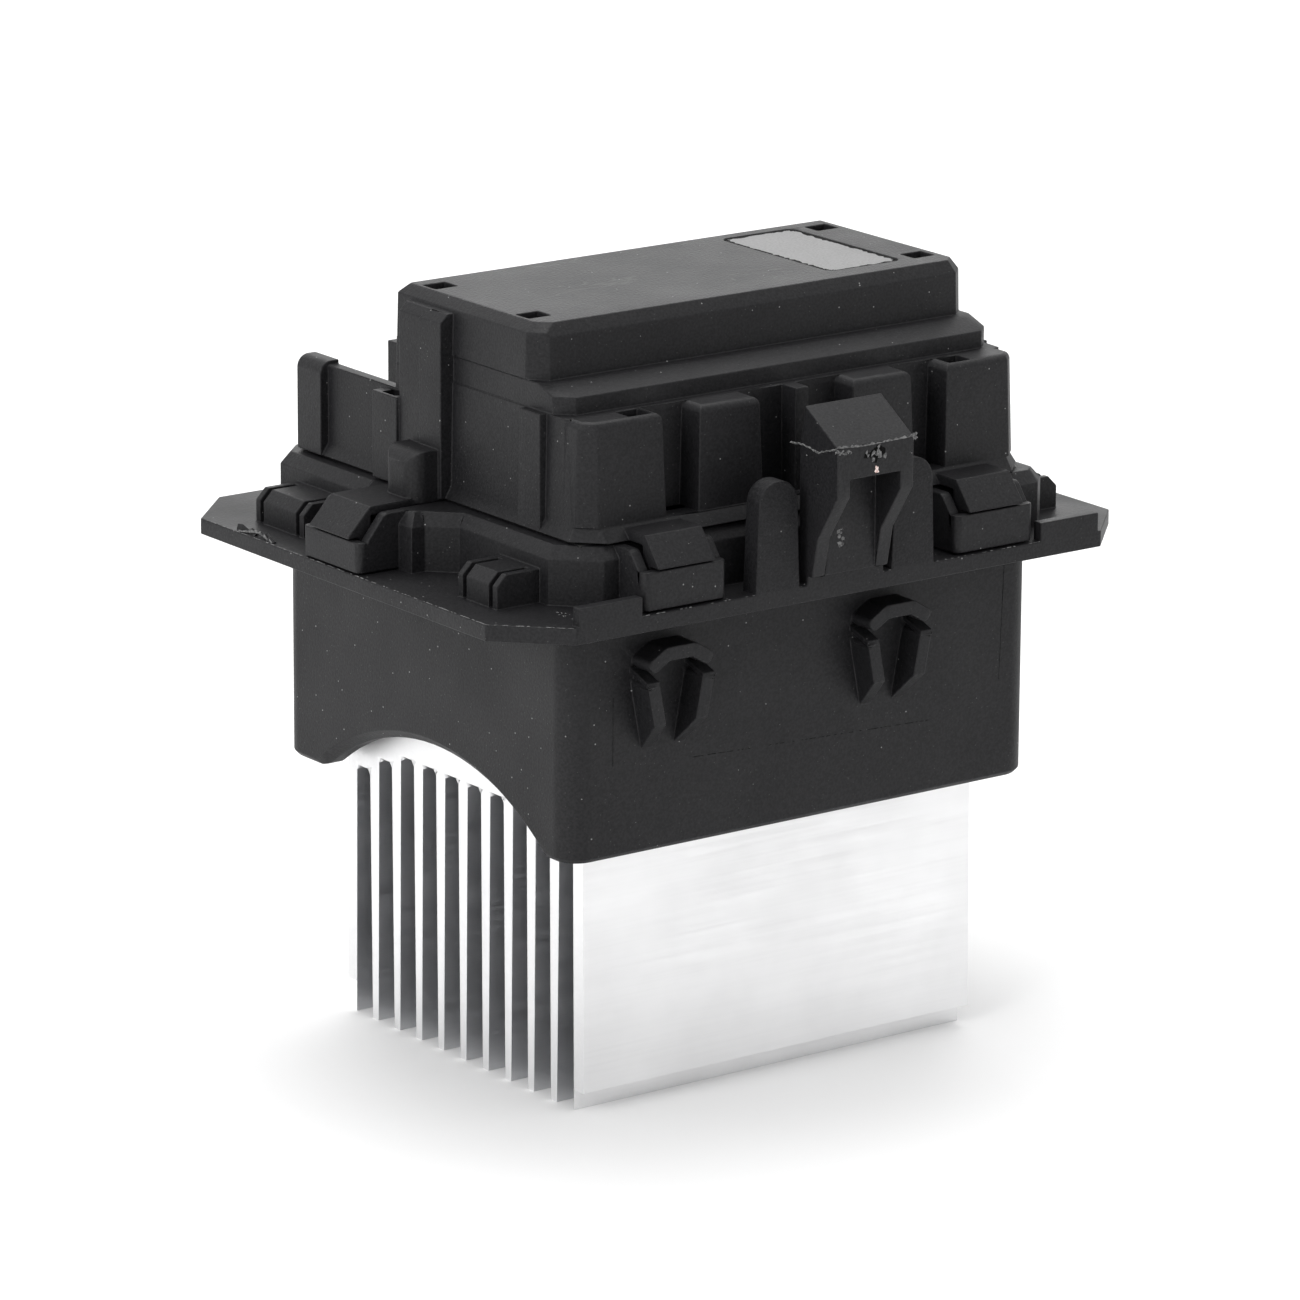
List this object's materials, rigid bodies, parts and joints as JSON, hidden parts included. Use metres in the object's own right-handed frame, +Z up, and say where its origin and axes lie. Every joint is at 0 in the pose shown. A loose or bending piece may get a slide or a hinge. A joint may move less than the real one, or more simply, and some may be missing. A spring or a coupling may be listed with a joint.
{
  "type": "blower motor resistor",
  "caption": "Plug-in blower speed module: finned heat sink below a sealing flange, with a stepped clip-on cover, a latch, and power and signal sockets at the rear.",
  "frame": {"origin": "Centre of the flange and sleeve, on the flange's underside, the face that rests on the duct.", "axes": "+X to the right along the fins, seen from the latch side. The latch is on the -Y side and the sockets open towards +Y. +Z up, away from the heat sink."},
  "size_m": [0.0886, 0.0768, 0.0907],
  "materials": {
    "black_plastic": "fine moulded grain",
    "sink_aluminium": "satin extruded, sawn ends",
    "bare_plate": "matt silver grey, bare",
    "seal_rubber": "matt",
    "screw_steel": "zinc plated",
    "spring_steel": "plain",
    "board_green": "solder mask",
    "pad_grey": "matt",
    "package_black": "moulded",
    "capacitor_sleeve": "shrink sleeve over the can",
    "ferrite": "matt",
    "winding_copper": "enamelled copper",
    "film_box": "moulded box",
    "shunt_metal": "bare copper alloy",
    "fuse_metal": "plain",
    "chip_ceramic_tan": "matt",
    "chip_ceramic_black": "matt",
    "terminal_brass": "tin plated"
  },
  "bodies": {
    "root": {"mounting_frame": "black_plastic", "cover": "black_plastic", "heat_sink": "sink_aluminium", "top_plate": "bare_plate", "seal_bead": "seal_rubber", "sink_gasket": "seal_rubber", "sink_screws": "screw_steel", "board_screws": "screw_steel", "clamp_screw": "screw_steel", "transistor_clamp": "spring_steel", "circuit_board": "board_green", "thermal_pads": "pad_grey", "power_transistors": "package_black", "freewheel_diode": "package_black", "control_chip": "package_black", "electrolytic_capacitors": "capacitor_sleeve", "choke_core": "ferrite", "choke_winding": "winding_copper", "film_capacitor": "film_box", "shunt": "shunt_metal", "thermal_fuse": "fuse_metal", "ceramic_capacitors": "chip_ceramic_tan", "chip_resistors": "chip_ceramic_black", "power_blades": "terminal_brass", "signal_pins": "terminal_brass"}
  },
  "joints": []
}
